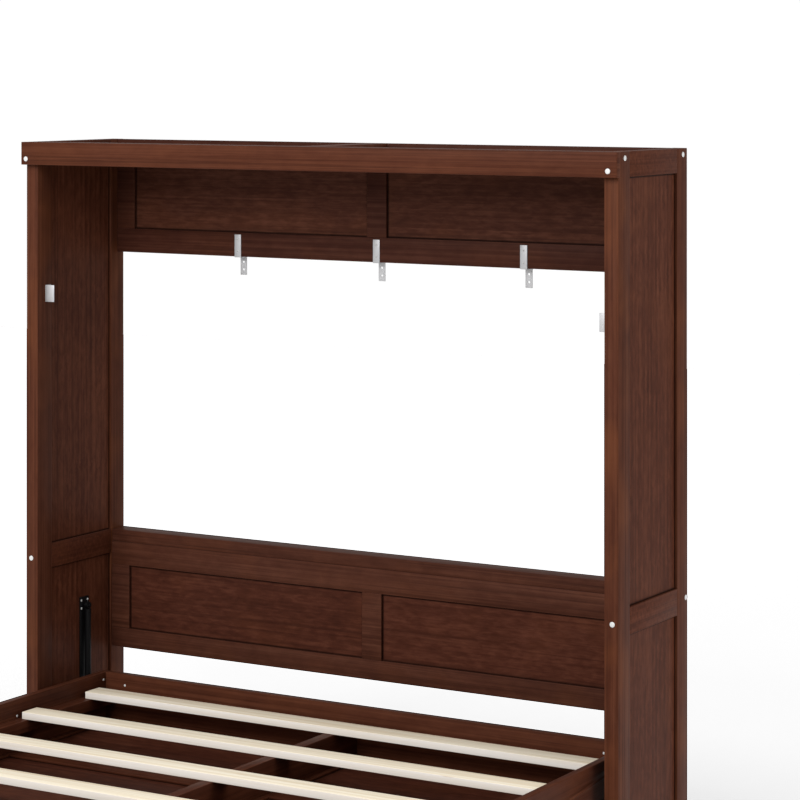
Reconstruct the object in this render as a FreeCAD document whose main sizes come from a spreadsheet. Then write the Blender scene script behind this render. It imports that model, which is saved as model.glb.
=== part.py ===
import FreeCAD, Part
import Sketcher
import os
import re

# Wall bed that folds up sideways into an open-backed cabinet, shown open.
# Millimetres. X runs along the cabinet's width, Y to the wall, Z up.
# The origin is on the floor at the middle of the open bed's box.

doc = FreeCAD.newDocument("WallBed")
sheet = doc.addObject("Spreadsheet::Sheet", "Sizes")

SIZES = (
    # Cabinet
    ("cabinet_width", 2260, "outside of the left side to outside of the right side"),
    ("cabinet_depth", 494, "front of the front stiles to the wall"),
    ("cabinet_height", 2270, "floor to the top edge"),
    ("side_thick", 47, "thickness of a side frame"),
    ("side_front_stile", 80, "face width of a side's front stile"),
    ("side_rear_stile", 74, "face width of a side's rear stile"),
    ("side_top_rail", 78, "height of a side frame's top rail"),
    ("side_mid_rail", 84, "height of a side frame's middle rail"),
    ("side_base_rail", 100, "height of a side frame's bottom rail"),
    ("mid_rail_top", 882, "floor to the top of the middle rail"),
    ("side_panel_thick", 29, "thickness of a side panel"),
    ("groove_deep", 10, "depth of a panel groove"),
    ("panel_play", 0.3, "play of a panel in its groove, each way"),
    ("fascia_height", 78, "height of the front board at the top"),
    ("fascia_thick", 23, "thickness of the front board"),
    ("fascia_overhang", 6, "how far the front board passes each side"),
    ("top_rail_deep", 60, "depth of the rail behind the front board"),
    ("top_cross_width", 79, "width of the cross board in the top"),
    ("top_recess", 20, "top edge down to the top panels"),
    ("top_panel_thick", 12, "thickness of a top panel"),
    # Back frames
    ("back_thick", 22, "thickness of the back frames"),
    ("back_panel_thick", 8, "thickness of the back panels"),
    ("back_panel_inset", 9, "front of a back frame to its panels"),
    ("back_stile", 76, "face width of the back frames' stiles"),
    ("upper_back_off_wall", 37.5, "wall to the front of the upper back frame"),
    ("upper_back_drop", 402, "cabinet top to the bottom of the upper back frame"),
    ("upper_top_rail", 78, "height of the upper back frame's top rail"),
    ("upper_low_rail", 84, "height of the upper back frame's bottom rail"),
    ("lower_back_off_wall", 70, "wall to the front of the lower back frame"),
    ("lower_back_high", 373, "height of the lower back frame"),
    ("lower_top_rail", 82, "height of the lower back frame's top rail"),
    ("lower_low_rail", 67, "height of the lower back frame's bottom rail"),
    ("beam_height", 42, "height of the beam over the lower back frame"),
    ("beam_set_back", 3, "front of the lower back frame to the beam's"),
    # Bed
    ("bed_gap", 40, "side frame to bed rail"),
    ("rail_thick", 26, "thickness of the bed rails"),
    ("rail_top", 403, "floor to the top of the bed rails"),
    ("rail_height", 168, "height of the bed rails"),
    ("bed_inner_length", 1560, "head rail to foot rail, inside"),
    ("bed_back_inset", 325, "cabinet front to the back of the head rail"),
    ("face_thick", 22, "thickness of the face frame under the bed"),
    ("face_gap", 6, "side frame to face frame"),
    ("face_border", 80, "width of the face frame's rails and stiles"),
    ("face_panel_thick", 8, "thickness of the face panels"),
    ("slat_width", 79, "width of a slat"),
    ("slat_thick", 24, "thickness of a slat"),
    ("slat_drop", 39, "bed rail top down to the slat tops"),
    ("first_slat", 65, "head rail to the first slat"),
    ("last_slat", 23, "foot rail to the last slat"),
    ("slat_play", 20, "bed rail to slat end"),
    ("ledger_thick", 45, "thickness of the strips that carry the slats"),
    ("ledger_height", 40, "height of the strips that carry the slats"),
    ("beam_width", 40, "width of the beam along the bed's middle"),
    # Legs
    ("leg_width", 70, "width of a leg"),
    ("leg_thick", 24, "thickness of a leg"),
    ("leg_inset", 145, "bed rail's outside to leg"),
    ("leg_set_back", 60, "bed foot to leg"),
    ("foot_pad", 5, "thickness of the pad under a leg"),
    ("stretcher_up", 50, "leg's lower end to the stretcher"),
    ("stretcher_high", 45, "height of the stretcher between the legs"),
    ("leg_pin_radius", 5, "radius of a leg's hinge pin"),
    ("leg_pin_drop", 14, "face frame down to the leg's hinge pin"),
    ("ear_thick", 4, "thickness of a leg hinge's ears"),
    ("ear_wide", 26, "width of a leg hinge's ears"),
    ("leg_play", 0.6, "leg to hinge ear, each side"),
    # Fold pivot
    ("pivot_below_top", 43, "bed rail top down to the fold pivot"),
    ("face_inset", 19.5, "cabinet front to the bed's face when it is folded up"),
    ("pin_radius", 8, "radius of the fold pins"),
    ("pin_play", 0.05, "radial play of a pin in its bore"),
    ("pin_depth", 18, "how deep a fold pin sits in the bed rail"),
    ("pin_end_play", 1, "end of a fold pin to the bottom of its bore"),
    ("bearing_thick", 6, "thickness of the plate that carries a fold pin"),
    ("bearing_wide", 92, "width of the plate that carries a fold pin"),
    ("bearing_high", 40, "height of the plate that carries a fold pin"),
    ("boss_radius", 14, "radius of the boss round a fold pin"),
    ("boss_high", 12, "height of the boss round a fold pin"),
    ("arm_thick", 4, "thickness of the steel arm on the bed rail"),
    ("arm_wide", 44, "width of the steel arm"),
    # Lifts
    ("lift_inset", 271, "cabinet front to the middle of the lift"),
    ("lift_eye_up", 234, "bed rail top up to the lift's upper eye"),
    ("lift_plate_wide", 50, "width of the lift's mounting plate"),
    ("lift_plate_thick", 4, "thickness of the lift's mounting plate"),
    ("lift_plate_base", 300, "floor to the mounting plate"),
    ("lift_plate_high", 366, "height of the lift's mounting plate"),
    ("lift_clear", 4, "mounting plate to cylinder"),
    ("lift_radius", 11, "radius of the lift's cylinder"),
    ("lift_long", 240, "length of the lift's cylinder"),
    ("lift_neck_long", 12, "upper eye's middle to the cylinder"),
    ("lift_neck_radius", 4, "radius of the neck over the cylinder"),
    ("lift_eye_radius", 12, "radius of the lift's eyes"),
    ("lift_eye_thick", 12, "thickness of the lift's eyes"),
    ("lift_rod_radius", 5, "radius of the lift's rod"),
    ("lift_rod_long", 212, "lower eye's middle to the rod's upper end"),
    ("lift_bore_long", 227, "length of the cylinder's bore"),
    ("stud_radius", 4.5, "radius of the studs that hold the lift"),
    ("stud_gap", 0.3, "lower stud to the lift's lower eye"),
    # Steel brackets to the wall
    ("bracket_spacing", 563, "wall bracket to wall bracket"),
    ("bracket_width", 26.5, "width of a wall bracket"),
    ("bracket_thick", 2.5, "thickness of a wall bracket"),
    ("bracket_up", 77, "height of the bracket's front plate"),
    ("bracket_down", 63, "height of the bracket's wall plate"),
    ("bracket_hole", 4, "radius of the bracket's holes"),
    ("bracket_hole_gap", 26, "hole to hole in the wall plate"),
    ("bracket_hole_drop", 18, "bend to the wall plate's first hole"),
    ("screw_radius", 4, "radius of a screw head"),
    ("screw_high", 1.5, "height of a screw head"),
    ("plate_screw_drop", 12, "mounting plate's top to its upper screws"),
    ("plate_screw_down", 28, "upper to lower screws of the mounting plate"),
    ("plate_screw_apart", 35, "left to right screws of the mounting plate"),
    # Stop plates
    ("stop_height", 58, "height of a stop plate"),
    ("stop_drop", 493, "cabinet top to the top of a stop plate"),
    ("stop_deep", 30, "depth of a stop plate's leg on the side"),
    ("stop_lip", 38, "how far a stop plate stands out of the side"),
    ("stop_thick", 2.5, "thickness of a stop plate"),
    ("stop_play", 0.5, "folded bed to stop plate"),
    # Caps
    ("cap_radius", 8.5, "radius of a bolt cap"),
    ("cap_high", 2, "height of a bolt cap"),
    ("board_cap_left", 14, "left side's outer face to the front board's cap"),
    ("board_cap_right", 24, "right side's outer face to the front board's cap"),
    ("board_cap_drop", 58, "top edge to the front board's caps"),
    ("post_cap_in", 20, "side's outer face to the cap on its front stile"),
    ("joint_cap_drop", 1430, "top edge to the caps on the front stiles"),
    ("side_cap_drop", 20, "top edge to the side's upper caps"),
    ("side_cap_front", 46, "cabinet front to the side's front cap"),
    ("side_cap_rear", 31, "wall to the side's rear cap"),
    ("edge_cap_rear", 10, "wall to the side's lower rear cap"),
    ("edge_cap_drop", 1425, "top edge to the side's lower rear cap"),
    ("small_cap_radius", 4.2, "radius of a cap inside the bed"),
    ("small_cap_high", 1.5, "height of a cap inside the bed"),
    ("corner_cap_in", 12, "head rail to the cap in the corner"),
    ("corner_cap_drop", 25, "bed rail top to the cap in the corner"),
    ("head_cap_in", 84, "side rail to the head rail's cap"),
    ("head_cap_drop", 38, "bed rail top to the head rail's cap"),
    ("side_rail_cap_in", 493, "head rail to the side rail's cap"),
    ("side_rail_cap_drop", 55, "bed rail top to the side rail's cap"),
    ("cut_over", 5, "how far a cutting solid passes a face"),
)

for row, (alias, value, note) in enumerate(SIZES, start=1):
    sheet.set(f"A{row}", alias)
    sheet.set(f"B{row}", str(value))
    sheet.set(f"C{row}", note)
    sheet.setAlias(f"B{row}", alias)
doc.recompute()

# Places that several pieces share, written in the sheet's names.
PLACES = {
    "bed_length": "(bed_inner_length + 2 * rail_thick)",
    "wall_y": "((cabinet_depth - bed_back_inset + bed_length) / 2)",
    "front_y": "(wall_y - cabinet_depth)",
    "side_in": "(cabinet_width / 2 - side_thick)",
    "panel_in": "(side_in + (side_thick - side_panel_thick) / 2)",
    "bed_side": "(side_in - bed_gap)",
    "bed_in": "(bed_side - rail_thick)",
    "face_side": "(side_in - face_gap)",
    "head_y": "(front_y + bed_back_inset)",
    "foot_y": "(head_y - bed_length)",
    "rail_base": "(rail_top - rail_height)",
    "face_base": "(rail_base - face_thick)",
    "slat_base": "(rail_top - slat_drop - slat_thick)",
    "pivot_z": "(rail_top - pivot_below_top)",
    "pivot_y": "(front_y + face_inset + pivot_z - face_base)",
    "lift_y": "(front_y + lift_inset)",
    "lift_top_z": "(rail_top + lift_eye_up)",
    "lift_axis": "(panel_in - lift_plate_thick - lift_clear - lift_radius)",
    "leg_pin_z": "(face_base - leg_pin_drop)",
    "leg_low_x": "(bed_side - leg_inset - leg_width)",
    "leg_y": "(foot_y + leg_set_back + leg_thick / 2)",
    "top_inside": "(cabinet_height - top_recess - top_panel_thick)",
    "upper_back_y": "(wall_y - upper_back_off_wall)",
    "upper_back_base": "(cabinet_height - upper_back_drop)",
    "lower_back_y": "(wall_y - lower_back_off_wall)",
    "lower_back_top": "(mid_rail_top - beam_height)",
    "lower_back_base": "(lower_back_top - lower_back_high)",
}


def formula(text):
    """Write a formula of named sizes and places as an expression on the sheet."""
    text = str(text)
    while any(re.search(rf"\b{name}\b", text) for name in PLACES):
        for name, meaning in PLACES.items():
            text = re.sub(rf"\b{name}\b", meaning, text)
    return re.sub(r"\b([a-z][a-z_]*[a-z])\b", r"Sizes.\1", text)


def bind(piece, **formulas):
    """Tie properties of a piece to the sheet. x, y and z set its place."""
    for name, text in formulas.items():
        path = f"Placement.Base.{name}" if name in ("x", "y", "z") else name
        piece.setExpression(path, formula(text))
    return piece


def block(name, x, y, z, long, deep, high):
    """A board that starts at x, y, z and runs long, deep and high."""
    piece = doc.addObject("Part::Box", name)
    return bind(piece, x=x, y=y, z=z, Length=long, Width=deep, Height=high)


TURNS = {"X": FreeCAD.Rotation(FreeCAD.Vector(0, 1, 0), 90),
         "Y": FreeCAD.Rotation(FreeCAD.Vector(1, 0, 0), -90),
         "Z": FreeCAD.Rotation()}


def rod(name, x, y, z, radius, long, axis):
    """A round bar that starts at x, y, z and runs along the axis."""
    piece = doc.addObject("Part::Cylinder", name)
    piece.Placement = FreeCAD.Placement(FreeCAD.Vector(), TURNS[axis])
    return bind(piece, x=x, y=y, z=z, Radius=radius, Height=long)


def carve(name, stock, tools):
    """Cut the tools out of the stock."""
    cutter = tools[0]
    if len(tools) > 1:
        cutter = doc.addObject("Part::MultiFuse", f"{name}_tools")
        cutter.Shapes = tools
    piece = doc.addObject("Part::Cut", name)
    piece.Base = stock
    piece.Tool = cutter
    return piece


def join(name, pieces):
    """Make one solid of several that meet."""
    piece = doc.addObject("Part::MultiFuse", name)
    piece.Shapes = pieces
    piece.Refine = True
    return piece


def group(name, pieces):
    """Keep several separate solids as one sub-part."""
    piece = doc.addObject("Part::Compound", name)
    piece.Links = pieces
    return piece


NODES = []


def keep(piece, label=None):
    """Mark a finished sub-part and give it its label."""
    piece.Label = label or piece.Name
    NODES.append(piece)
    return piece


def sides(sign, low, long):
    """The lower end along X of something on the left (-1) or right (1) side, mirrored from the right."""
    return low if sign > 0 else f"-({low}) - ({long})"


def side_frame(word, sign):
    """Two stiles, three rails and two panels make one side of the cabinet."""
    outer = sides(sign, "side_in", "side_thick")
    panel_x = sides(sign, "panel_in", "side_panel_thick")
    groove_x = sides(sign, "panel_in - panel_play", "side_panel_thick + 2 * panel_play")
    groove_wide = "side_panel_thick + 2 * panel_play"
    inner_y = "(front_y + side_front_stile)"
    inside = "(cabinet_depth - side_front_stile - side_rear_stile)"
    openings = (("upper", "mid_rail_top", "cabinet_height - side_top_rail - mid_rail_top"),
                ("lower", "side_base_rail", "mid_rail_top - side_mid_rail - side_base_rail"))
    for place, y, wide, cut_y in (
        ("front", "front_y", "side_front_stile", f"{inner_y} - groove_deep"),
        ("rear", "wall_y - side_rear_stile", "side_rear_stile", "wall_y - side_rear_stile - cut_over"),
    ):
        stile = block(f"{word}_{place}_stile_stock", outer, y, 0, "side_thick", wide, "cabinet_height")
        cuts = [block(f"{word}_{place}_stile_{part}_groove", groove_x, cut_y, f"({base}) - groove_deep", groove_wide,
                      "groove_deep + cut_over", f"({high}) + 2 * groove_deep") for part, base, high in openings]
        keep(carve(f"{word}_{place}_stile", stile, cuts))
    rails = (("top", "cabinet_height - side_top_rail", "side_top_rail", ("low",)),
             ("middle", "mid_rail_top - side_mid_rail", "side_mid_rail", ("low", "high")),
             ("bottom", "0", "side_base_rail", ("high",)))
    for part, base, high, edges in rails:
        stock = block(f"{word}_{part}_rail_stock", outer, inner_y, base, "side_thick", inside, high)
        cuts = []
        for edge in edges:
            at = f"({base}) - cut_over" if edge == "low" else f"({base}) + ({high}) - groove_deep"
            cuts.append(block(f"{word}_{part}_rail_{edge}_groove", groove_x, f"{inner_y} - cut_over", at,
                              groove_wide, f"{inside} + 2 * cut_over", "groove_deep + cut_over"))
        keep(carve(f"{word}_{part}_rail", stock, cuts))
    reach = "(groove_deep - panel_play)"
    for part, base, high in openings:
        keep(block(f"{word}_{part}_panel", panel_x, f"{inner_y} - {reach}", f"({base}) - {reach}",
                   "side_panel_thick", f"{inside} + 2 * {reach}", f"({high}) + 2 * {reach}"))


def back_frame(word, y, base, top, low_rail, top_rail):
    """Two rails and three stiles round two panels, standing between the sides."""
    reach = "(groove_deep - panel_play)"
    slot_y = f"{y} + back_panel_inset - panel_play"
    slot = "back_panel_thick + 2 * panel_play"
    inner = f"({top} - {base} - {low_rail} - {top_rail})"
    for part, at, high, cut_at in (
        ("bottom_rail", base, low_rail, f"{base} + {low_rail} - groove_deep"),
        ("top_rail", f"{top} - {top_rail}", top_rail, f"{top} - {top_rail} - cut_over"),
    ):
        stock = block(f"{word}_{part}_stock", "-side_in", y, at, "2 * side_in", "back_thick", high)
        cut = block(f"{word}_{part}_groove", "-side_in + back_stile - groove_deep", slot_y, cut_at,
                    "2 * side_in - 2 * back_stile + 2 * groove_deep", slot, "groove_deep + cut_over")
        keep(carve(f"{word}_{part}", stock, [cut]))
    low = f"{base} + {low_rail}"
    stiles = []
    for part, x, cut_places in (
        ("left", "-side_in", ("-side_in + back_stile - groove_deep",)),
        ("middle", "-back_stile / 2", ("-back_stile / 2 - cut_over", "back_stile / 2 - groove_deep")),
        ("right", "side_in - back_stile", ("side_in - back_stile - cut_over",)),
    ):
        stock = block(f"{word}_{part}_stile_stock", x, y, low, "back_stile", "back_thick", inner)
        cuts = [block(f"{word}_{part}_stile_groove_{count}", cut_x, slot_y, f"{low} - cut_over",
                      "groove_deep + cut_over", slot, f"{inner} + 2 * cut_over")
                for count, cut_x in enumerate(cut_places)]
        stiles.append(carve(f"{word}_{part}_stile", stock, cuts))
    keep(group(f"{word}_stiles", stiles))
    wide = "(side_in - 3 / 2 * back_stile)"
    panels = [block(f"{word}_panel_{count}", f"{x} - {reach}", f"{y} + back_panel_inset", f"{low} - {reach}",
                    f"{wide} + 2 * {reach}", "back_panel_thick", f"{inner} + 2 * {reach}")
              for count, x in enumerate(("-side_in + back_stile", "back_stile / 2"))]
    keep(group(f"{word}_panels", panels))


def cabinet():
    """Sides, top and back."""
    side_frame("left_side", -1)
    side_frame("right_side", 1)
    front_long = "(cabinet_width + 2 * fascia_overhang)"
    keep(block("top_front_board", f"-{front_long} / 2", "front_y - fascia_thick", "cabinet_height - fascia_height",
               front_long, "fascia_thick", "fascia_height"))
    high = "(top_recess + top_panel_thick)"
    keep(block("top_front_rail", "-side_in", "front_y", "top_inside", "2 * side_in", "top_rail_deep", high))
    cross_y = "front_y + top_rail_deep"
    run = "(cabinet_depth - upper_back_off_wall - top_rail_deep)"
    keep(block("top_cross_board", "-top_cross_width / 2", cross_y, "top_inside", "top_cross_width", run, high))
    wide = "(side_in - top_cross_width / 2)"
    panels = [block("top_panel_left", "-side_in", cross_y, "top_inside", wide, run, "top_panel_thick"),
              block("top_panel_right", "top_cross_width / 2", cross_y, "top_inside", wide, run, "top_panel_thick")]
    keep(group("top_panels", panels))
    back_frame("upper_back", "upper_back_y", "upper_back_base", "cabinet_height", "upper_low_rail",
               "upper_top_rail")
    back_frame("lower_back", "lower_back_y", "lower_back_base", "lower_back_top", "lower_low_rail",
               "lower_top_rail")
    keep(block("lower_back_beam", "-side_in", "lower_back_y + beam_set_back", "lower_back_top", "2 * side_in",
               "lower_back_off_wall - beam_set_back", "beam_height"))


def bed():
    """Rails, slats and their strips, the middle beam and the face that closes the cabinet."""
    for word, sign in (("left", -1), ("right", 1)):
        x = sides(sign, "bed_in", "rail_thick")
        stock = block(f"bed_{word}_rail_stock", x, "foot_y", "rail_base", "rail_thick", "bed_length", "rail_height")
        hole = rod(f"bed_{word}_rail_bore", sides(sign, "bed_side - pin_depth", "pin_depth + cut_over"), "pivot_y",
                   "pivot_z", "pin_radius + pin_play", "pin_depth + cut_over", "X")
        keep(carve(f"bed_{word}_rail", stock, [hole]))
    keep(block("bed_head_rail", "-bed_in", "head_y - rail_thick", "rail_base", "2 * bed_in", "rail_thick",
               "rail_height"))
    keep(block("bed_foot_rail", "-bed_in", "foot_y", "rail_base", "2 * bed_in", "rail_thick", "rail_height"))
    inner_y = "(foot_y + rail_thick)"
    strips = [block(f"ledger_{word}", sides(sign, "bed_in - ledger_thick", "ledger_thick"), inner_y,
                    "slat_base - ledger_height", "ledger_thick", "bed_inner_length", "ledger_height")
              for word, sign in (("left", -1), ("right", 1))]
    keep(group("slat_ledgers", strips))
    keep(block("bed_middle_beam", "-beam_width / 2", inner_y, "rail_base", "beam_width", "bed_inner_length",
               "slat_base - rail_base"))
    slats = []
    pitch = "((bed_inner_length - first_slat - last_slat - slat_width) / 4)"
    for count in range(5):
        at = f"{inner_y} + last_slat + {count} * {pitch}"
        slats.append(block(f"slat_{count}", "-bed_in + slat_play", at, "slat_base", "2 * bed_in - 2 * slat_play",
                           "slat_width", "slat_thick"))
    keep(group("bed_slats", slats))


def face():
    """The frame and panels under the bed, which close the cabinet when the bed is folded up."""
    play = "face_base + (face_thick - face_panel_thick) / 2 - panel_play"
    slot = "face_panel_thick + 2 * panel_play"
    reach = "(groove_deep - panel_play)"
    row = "((bed_length - 4 * face_border) / 3)"
    step = f"({row} + face_border)"
    inner_wide = "2 * face_side - 2 * face_border"
    crosses = []
    for count in range(4):
        y = f"foot_y + {count} * {step}"
        stock_x, stock_long = "-face_side", "2 * face_side"
        cut_x, cut_long = "-face_side + face_border - groove_deep", f"{inner_wide} + 2 * groove_deep"
        if 0 < count < 3:
            stock_x, stock_long = "-face_side + face_border", inner_wide
            cut_x, cut_long = stock_x, stock_long
        stock = block(f"face_rail_{count}_stock", stock_x, y, "face_base", stock_long, "face_border", "face_thick")
        cuts = []
        if count < 3:
            cuts.append(f"{y} + face_border - groove_deep")
        if count > 0:
            cuts.append(f"{y} - cut_over")
        grooves = [block(f"face_rail_{count}_groove_{part}", cut_x, at, play, cut_long, "groove_deep + cut_over", slot)
                   for part, at in enumerate(cuts)]
        crosses.append(carve(f"face_rail_{count}", stock, grooves))
    keep(crosses[0], "face_foot_rail")
    keep(crosses[3], "face_head_rail")
    keep(group("face_middle_rails", crosses[1:3]))
    whole = "(bed_length - 2 * face_border)"
    stiles = []
    for word, x, cut_x in (("left", "-face_side", "-face_side + face_border - groove_deep"),
                           ("right", "face_side - face_border", "face_side - face_border - cut_over")):
        stock = block(f"face_{word}_stile_stock", x, "foot_y + face_border", "face_base", "face_border", whole,
                      "face_thick")
        groove = block(f"face_{word}_stile_groove", cut_x, "foot_y + face_border - cut_over", play,
                       "groove_deep + cut_over", f"{whole} + 2 * cut_over", slot)
        stiles.append(carve(f"face_{word}_stile", stock, [groove]))
    keep(group("face_side_stiles", stiles))
    middles = []
    panels = []
    wide = "(face_side - 3 / 2 * face_border)"
    for count in range(3):
        y = f"foot_y + face_border + {count} * {step}"
        stock = block(f"face_middle_{count}_stock", "-face_border / 2", y, "face_base", "face_border", row,
                      "face_thick")
        grooves = [block(f"face_middle_{count}_groove_{part}", x, f"{y} - cut_over", play, "groove_deep + cut_over",
                         f"{row} + 2 * cut_over", slot)
                   for part, x in enumerate(("-face_border / 2 - cut_over", "face_border / 2 - groove_deep"))]
        middles.append(carve(f"face_middle_{count}", stock, grooves))
        for part, x in enumerate(("-face_side + face_border", "face_border / 2")):
            panels.append(block(f"face_panel_{count}_{part}", f"{x} - {reach}", f"{y} - {reach}",
                                "face_base + (face_thick - face_panel_thick) / 2", f"{wide} + 2 * {reach}",
                                f"{row} + 2 * {reach}", "face_panel_thick"))
    keep(group("face_middle_stiles", middles))
    keep(group("face_panels", panels))


def legs():
    """Two legs at the foot with a stretcher and pads, each leg on a pin between two ears."""
    hinges = []
    pads = []
    front = "leg_y - leg_thick / 2"
    for word, sign in (("left", -1), ("right", 1)):
        low = sides(sign, "leg_low_x", "leg_width")
        post = block(f"{word}_leg_stock", low, front, "foot_pad", "leg_width", "leg_thick", "leg_pin_z - foot_pad")
        nose = rod(f"{word}_leg_nose", low, "leg_y", "leg_pin_z", "leg_thick / 2", "leg_width", "X")
        hole = rod(f"{word}_leg_bore", f"{low} - cut_over", "leg_y", "leg_pin_z", "leg_pin_radius + pin_play",
                   "leg_width + 2 * cut_over", "X")
        keep(carve(f"{word}_leg", join(f"{word}_leg_body", [post, nose]), [hole]))
        pads.append(block(f"{word}_pad", low, front, 0, "leg_width", "leg_thick", "foot_pad"))
        parts = []
        for count, at in enumerate((f"{low} - leg_play - ear_thick", f"{low} + leg_width + leg_play")):
            parts.append(block(f"{word}_ear_{count}", at, "leg_y - ear_wide / 2", "leg_pin_z", "ear_thick",
                               "ear_wide", "leg_pin_drop"))
            parts.append(rod(f"{word}_ear_end_{count}", at, "leg_y", "leg_pin_z", "ear_wide / 2", "ear_thick", "X"))
        parts.append(rod(f"{word}_leg_pin", f"{low} - leg_play - ear_thick", "leg_y", "leg_pin_z", "leg_pin_radius",
                         "leg_width + 2 * leg_play + 2 * ear_thick", "X"))
        hinges.append(join(f"{word}_leg_hinge", parts))
    keep(block("leg_stretcher", "-leg_low_x", front, "stretcher_up", "2 * leg_low_x", "leg_thick",
               "stretcher_high"))
    keep(group("leg_pads", pads))
    keep(group("leg_hinges", hinges))


def pivots():
    """Plates on the sides with the pins that the bed turns on, and the bed's steel arms."""
    bearings = []
    arms = []
    for word, sign in (("left", -1), ("right", 1)):
        plate = block(f"{word}_bearing_stock", sides(sign, "panel_in - bearing_thick", "bearing_thick"),
                      "pivot_y - bearing_wide / 2", "pivot_z - bearing_high / 2", "bearing_thick", "bearing_wide",
                      "bearing_high")
        boss_low = "(panel_in - bearing_thick - boss_high)"
        boss = rod(f"{word}_bearing_boss", sides(sign, boss_low, "boss_high"), "pivot_y", "pivot_z", "boss_radius",
                   "boss_high", "X")
        pin_low = "(bed_side - pin_depth + pin_end_play)"
        pin_long = f"({boss_low} - {pin_low})"
        pin = rod(f"{word}_bearing_pin", sides(sign, pin_low, pin_long), "pivot_y", "pivot_z", "pin_radius",
                  pin_long, "X")
        bearings.extend([plate, boss, pin])
        arm_x = sides(sign, "bed_side", "arm_thick")
        parts = [block(f"{word}_arm_bar", arm_x, "pivot_y", "pivot_z - arm_wide / 2", "arm_thick",
                       "lift_y - pivot_y", "arm_wide"),
                 rod(f"{word}_arm_front", arm_x, "pivot_y", "pivot_z", "arm_wide / 2", "arm_thick", "X"),
                 rod(f"{word}_arm_rear", arm_x, "lift_y", "pivot_z", "arm_wide / 2", "arm_thick", "X")]
        stud_low = "(bed_side + arm_thick)"
        stud_long = f"(lift_axis - lift_eye_thick / 2 - stud_gap - {stud_low})"
        stud = rod(f"{word}_arm_stud", sides(sign, stud_low, stud_long), "lift_y", "pivot_z", "stud_radius",
                   stud_long, "X")
        hole = rod(f"{word}_arm_bore", f"{arm_x} - cut_over", "pivot_y", "pivot_z", "pin_radius + pin_play",
                   "arm_thick + 2 * cut_over", "X")
        arms.extend([carve(f"{word}_arm", join(f"{word}_arm_body", parts), [hole]), stud])
    keep(group("pivot_bearings", bearings))
    keep(group("pivot_arms", arms))


def lifts():
    """A gas lift on each side: mounting plate with its stud, cylinder and rod."""
    plates = []
    for word, sign in (("left", -1), ("right", 1)):
        plate = block(f"{word}_lift_plate_stock", sides(sign, "panel_in - lift_plate_thick", "lift_plate_thick"),
                      "lift_y - lift_plate_wide / 2", "lift_plate_base", "lift_plate_thick", "lift_plate_wide",
                      "lift_plate_high")
        stud_low = "(lift_axis - lift_eye_thick)"
        stud_long = f"(panel_in - lift_plate_thick - {stud_low})"
        stud = rod(f"{word}_lift_stud", sides(sign, stud_low, stud_long), "lift_y", "lift_top_z", "stud_radius",
                   stud_long, "X")
        plates.extend([plate, stud])
        middle = f"{'-' if sign < 0 else ''}lift_axis"
        eye_x = sides(sign, "lift_axis - lift_eye_thick / 2", "lift_eye_thick")
        base = "(lift_top_z - lift_neck_long - lift_long)"
        barrel = rod(f"{word}_lift_barrel", middle, "lift_y", base, "lift_radius", "lift_long", "Z")
        neck = rod(f"{word}_lift_neck", middle, "lift_y", f"{base} + lift_long", "lift_neck_radius",
                   "lift_neck_long", "Z")
        eye = rod(f"{word}_lift_top_eye", eye_x, "lift_y", "lift_top_z", "lift_eye_radius", "lift_eye_thick", "X")
        hole = rod(f"{word}_lift_top_bore", f"{eye_x} - cut_over", "lift_y", "lift_top_z", "stud_radius + pin_play",
                   "lift_eye_thick + 2 * cut_over", "X")
        sleeve = rod(f"{word}_lift_sleeve", middle, "lift_y", f"{base} - cut_over", "lift_rod_radius + pin_play",
                     "lift_bore_long + cut_over", "Z")
        keep(carve(f"{word}_lift_cylinder", join(f"{word}_lift_body", [barrel, neck, eye]), [hole, sleeve]))
        bar = rod(f"{word}_lift_bar", middle, "lift_y", "pivot_z", "lift_rod_radius", "lift_rod_long", "Z")
        low_eye = rod(f"{word}_lift_low_eye", eye_x, "lift_y", "pivot_z", "lift_eye_radius", "lift_eye_thick", "X")
        keep(join(f"{word}_lift_rod", [bar, low_eye]))
    keep(group("lift_plates", plates))


def bent(name, steps, wide, x, y, z):
    """A strip bent square: an outline of level and upright steps, drawn in the YZ plane and made wide along X."""
    body = doc.addObject("PartDesign::Body", name)
    sketch = body.newObject("Sketcher::SketchObject", f"{name}_outline")
    sketch.AttachmentSupport = [(body.Origin.OriginFeatures[5], "")]
    sketch.MapMode = "FlatFace"
    at = FreeCAD.Vector()
    points = [at]
    for way, _ in steps:
        at = at + FreeCAD.Vector(*way, 0)
        points.append(at)
    points.append(FreeCAD.Vector())
    for first, second in zip(points, points[1:]):
        sketch.addGeometry(Part.LineSegment(first, second))
    last = len(steps)
    sketch.addConstraint(Sketcher.Constraint("Coincident", 0, 1, -1, 1))
    for edge in range(last + 1):
        sketch.addConstraint(Sketcher.Constraint("Coincident", edge, 2, (edge + 1) % (last + 1), 1))
    for edge, (way, long) in enumerate(steps):
        level = way[0] != 0
        sketch.addConstraint(Sketcher.Constraint("Horizontal" if level else "Vertical", edge))
        if long:
            ends = (edge, 1, edge, 2) if sum(way) > 0 else (edge, 2, edge, 1)
            drawn = FreeCAD.Vector(*way, 0).Length
            index = sketch.addConstraint(Sketcher.Constraint("DistanceX" if level else "DistanceY", *ends, drawn))
            sketch.renameConstraint(index, f"step_{edge}")
            sketch.setExpression(f"Constraints.step_{edge}", formula(long))
    closing = points[-2] - points[-1]
    sketch.addConstraint(Sketcher.Constraint("Horizontal" if closing.x else "Vertical", last))
    pad = body.newObject("PartDesign::Pad", f"{name}_pad")
    pad.Profile = sketch
    pad.setExpression("Length", formula(wide))
    return bind(body, x=x, y=y, z=z)


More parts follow.
